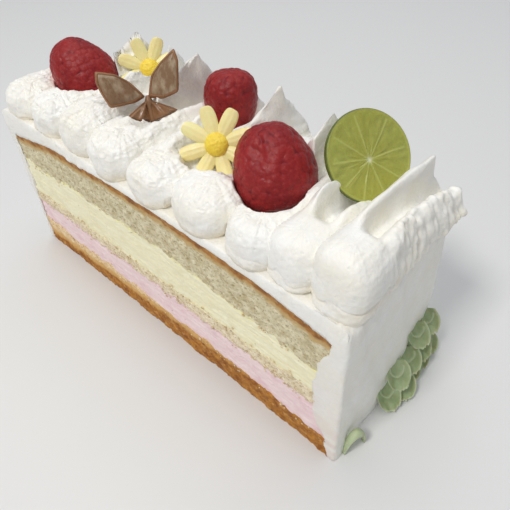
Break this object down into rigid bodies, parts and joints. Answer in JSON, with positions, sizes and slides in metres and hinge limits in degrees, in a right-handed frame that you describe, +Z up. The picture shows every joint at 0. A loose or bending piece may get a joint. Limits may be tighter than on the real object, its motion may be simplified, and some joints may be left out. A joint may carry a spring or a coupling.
{
  "type": "lime raspberry cream cake slice",
  "caption": "Long layered cream cake slice with sponge, raspberry cream and lime cream, coated and piped with whipped cream, topped with berries, flowers, a butterfly and lime.",
  "frame": {"origin": "middle of the 160 by 60 mm footprint of the cake, on the underside of the bottom sponge that it rests on", "axes": "+X along the slice towards the end with the tall shell, -Y out of the cut face, +Z up"},
  "size_m": [0.1795, 0.0693, 0.101],
  "materials": {
    "sponge_base": "matt baked crumb, golden brown",
    "sponge": "matt porous crumb, greyish beige",
    "raspberry_cream": "satin pale pink cream",
    "lime_cream": "satin pale yellow cream",
    "whipped_cream": "satin white whipped cream",
    "raspberry": "soft satin red fruit skin",
    "white_chocolate": "satin pale yellow moulded chocolate",
    "yellow_chocolate": "satin bright yellow moulded chocolate",
    "chocolate": "semi-gloss milk chocolate with a little bloom",
    "lime": "moist cut fruit",
    "green_cream": "satin pale green piped cream"
  },
  "bodies": {
    "root": {"bottom_sponge": "sponge_base", "raspberry_cream": "raspberry_cream", "middle_sponge": "sponge", "lime_cream": "lime_cream", "top_sponge": "sponge", "cream_coat": "whipped_cream", "raspberry_1": "raspberry", "raspberry_2": "raspberry", "raspberry_3": "raspberry", "daisy_1_petals": "white_chocolate", "daisy_1_centre": "yellow_chocolate", "daisy_2_petals": "white_chocolate", "daisy_2_centre": "yellow_chocolate", "chocolate_butterfly": "chocolate", "lime_slice": "lime", "piped_shell_1": "whipped_cream", "piped_shell_2": "whipped_cream", "piped_shell_3": "whipped_cream", "piped_shell_4": "whipped_cream", "piped_shell_5": "whipped_cream", "piped_shell_6": "whipped_cream", "piped_shell_7": "whipped_cream", "piped_shell_8": "whipped_cream", "piped_shell_9": "whipped_cream", "leaf_1": "green_cream", "leaf_2": "green_cream", "leaf_3": "green_cream", "leaf_4": "green_cream", "leaf_5": "green_cream", "leaf_6": "green_cream", "leaf_7": "green_cream", "leaf_8": "green_cream", "leaf_9": "green_cream", "leaf_10": "green_cream", "leaf_11": "green_cream", "leaf_12": "green_cream", "leaf_13": "green_cream", "leaf_14": "green_cream", "leaf_15": "green_cream", "leaf_16": "green_cream", "leaf_17": "green_cream", "leaf_18": "green_cream", "leaf_19": "green_cream", "leaf_20": "green_cream", "leaf_21": "green_cream", "leaf_22": "green_cream", "leaf_23": "green_cream", "leaf_24": "green_cream", "leaf_25": "green_cream", "leaf_26": "green_cream", "leaf_27": "green_cream", "leaf_28": "green_cream", "leaf_29": "green_cream", "leaf_30": "green_cream", "leaf_31": "green_cream", "leaf_32": "green_cream", "leaf_curl": "green_cream"}
  },
  "joints": []
}
